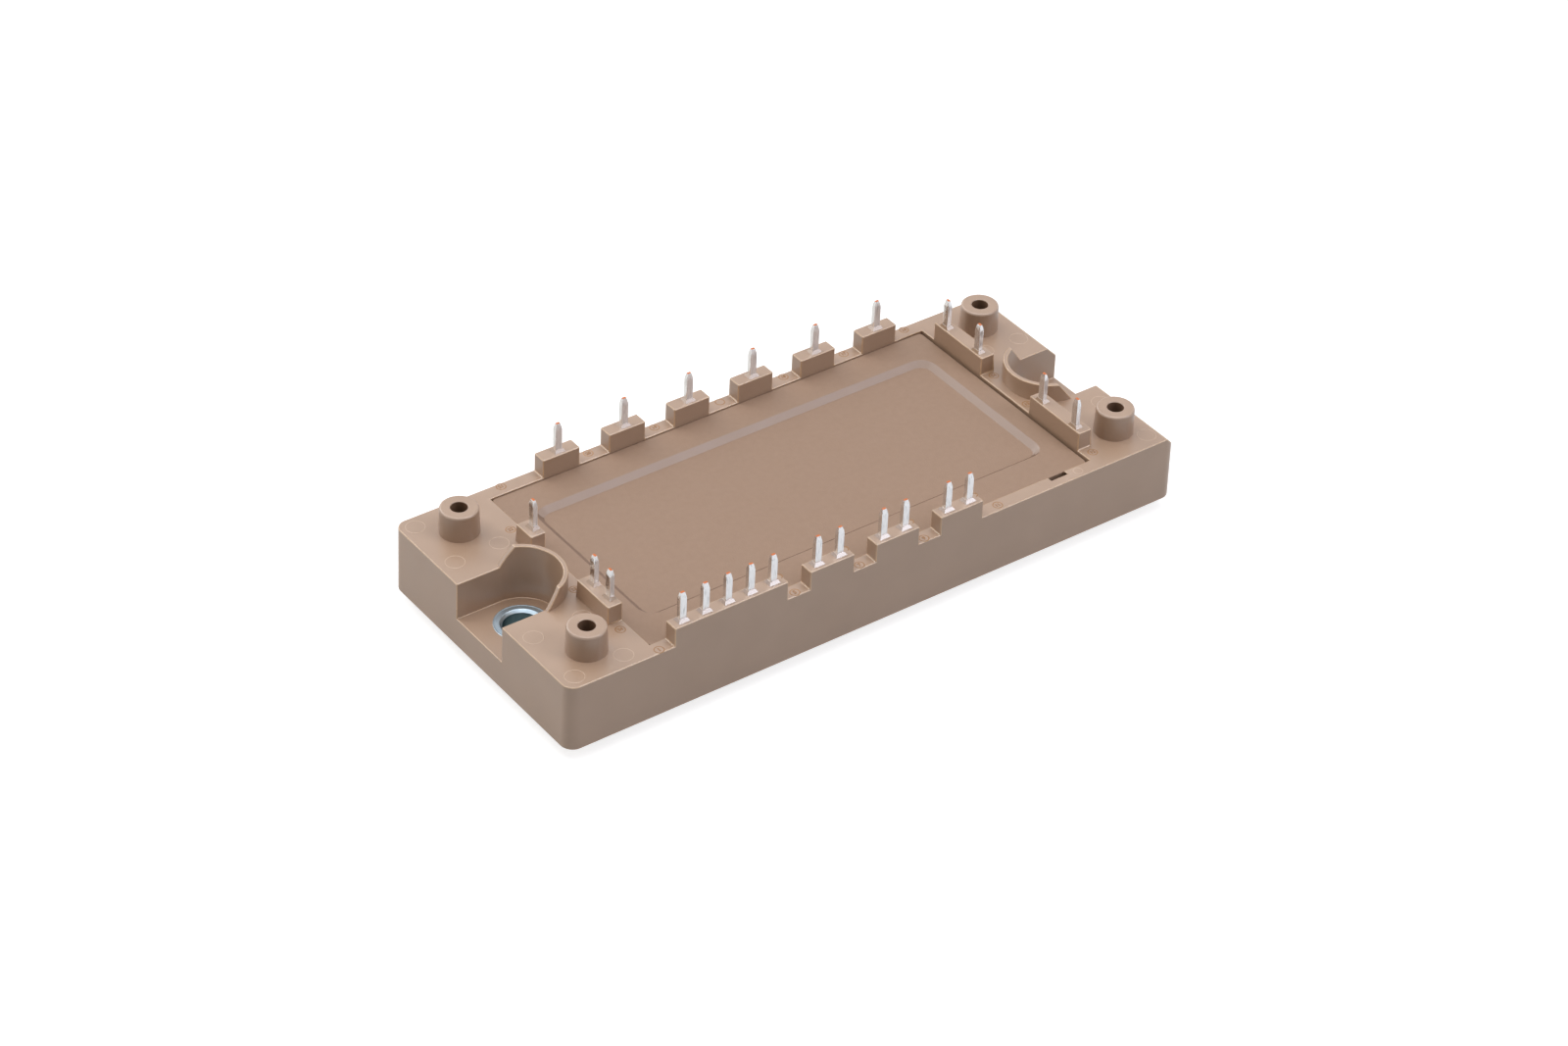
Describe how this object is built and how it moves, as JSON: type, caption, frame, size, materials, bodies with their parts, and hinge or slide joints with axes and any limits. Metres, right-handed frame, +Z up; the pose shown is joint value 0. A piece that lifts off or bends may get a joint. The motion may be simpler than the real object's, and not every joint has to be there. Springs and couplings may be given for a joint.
{
  "type": "IGBT power module",
  "caption": "Flat moulded power module with solder pins round a recessed lid, a screw notch with a steel collar in each end, board standoffs and a flat metal base.",
  "frame": {"origin": "middle of the base plate's underside", "axes": "+Z up, out of the pin side; +X along the length, towards the bevelled end; -Y faces the long pin row"},
  "size_m": [0.1074, 0.045, 0.0206],
  "materials": {
    "housing_plastic": "satin moulded",
    "lid_plastic": "fine matt texture",
    "nickel_plate": "nickel-plated copper",
    "zinc_steel": "zinc-plated steel",
    "tinned_copper": "bright tin plate",
    "alumina": "fired alumina",
    "bare_copper": "bare copper",
    "silicon": "metallised silicon",
    "aluminium_wire": "drawn",
    "sensor_ceramic": "sintered",
    "silicone_gel": "soft clear gel"
  },
  "bodies": {
    "root": {"base_plate": "nickel_plate", "chip_bond_wires": "aluminium_wire", "diode_brake": "silicon", "diode_high_u": "silicon", "diode_high_v": "silicon", "diode_high_w": "silicon", "diode_low_u": "silicon", "diode_low_v": "silicon", "diode_low_w": "silicon", "housing": "housing_plastic", "igbt_brake": "silicon", "igbt_high_u": "silicon", "igbt_high_v": "silicon", "igbt_high_w": "silicon", "igbt_low_u": "silicon", "igbt_low_v": "silicon", "igbt_low_w": "silicon", "lid": "lid_plastic", "mounting_collar_left": "zinc_steel", "mounting_collar_right": "zinc_steel", "pin_01": "tinned_copper", "pin_02": "tinned_copper", "pin_03": "tinned_copper", "pin_04": "tinned_copper", "pin_05": "tinned_copper", "pin_06": "tinned_copper", "pin_07": "tinned_copper", "pin_08": "tinned_copper", "pin_09": "tinned_copper", "pin_10": "tinned_copper", "pin_11": "tinned_copper", "pin_12": "tinned_copper", "pin_13": "tinned_copper", "pin_14": "tinned_copper", "pin_15": "tinned_copper", "pin_16": "tinned_copper", "pin_17": "tinned_copper", "pin_18": "tinned_copper", "pin_19": "tinned_copper", "pin_20": "tinned_copper", "pin_21": "tinned_copper", "pin_22": "tinned_copper", "pin_23": "tinned_copper", "pin_24": "tinned_copper", "pin_bond_wires": "aluminium_wire", "rectifier_high_1": "silicon", "rectifier_high_2": "silicon", "rectifier_high_3": "silicon", "rectifier_low_1": "silicon", "rectifier_low_2": "silicon", "rectifier_low_3": "silicon", "silicone_gel": "silicone_gel", "substrate_bottom_copper_left": "bare_copper", "substrate_bottom_copper_right": "bare_copper", "substrate_ceramic_left": "alumina", "substrate_ceramic_right": "alumina", "substrate_circuit_left": "bare_copper", "substrate_circuit_right": "bare_copper", "temperature_sensor": "sensor_ceramic"}
  },
  "joints": []
}
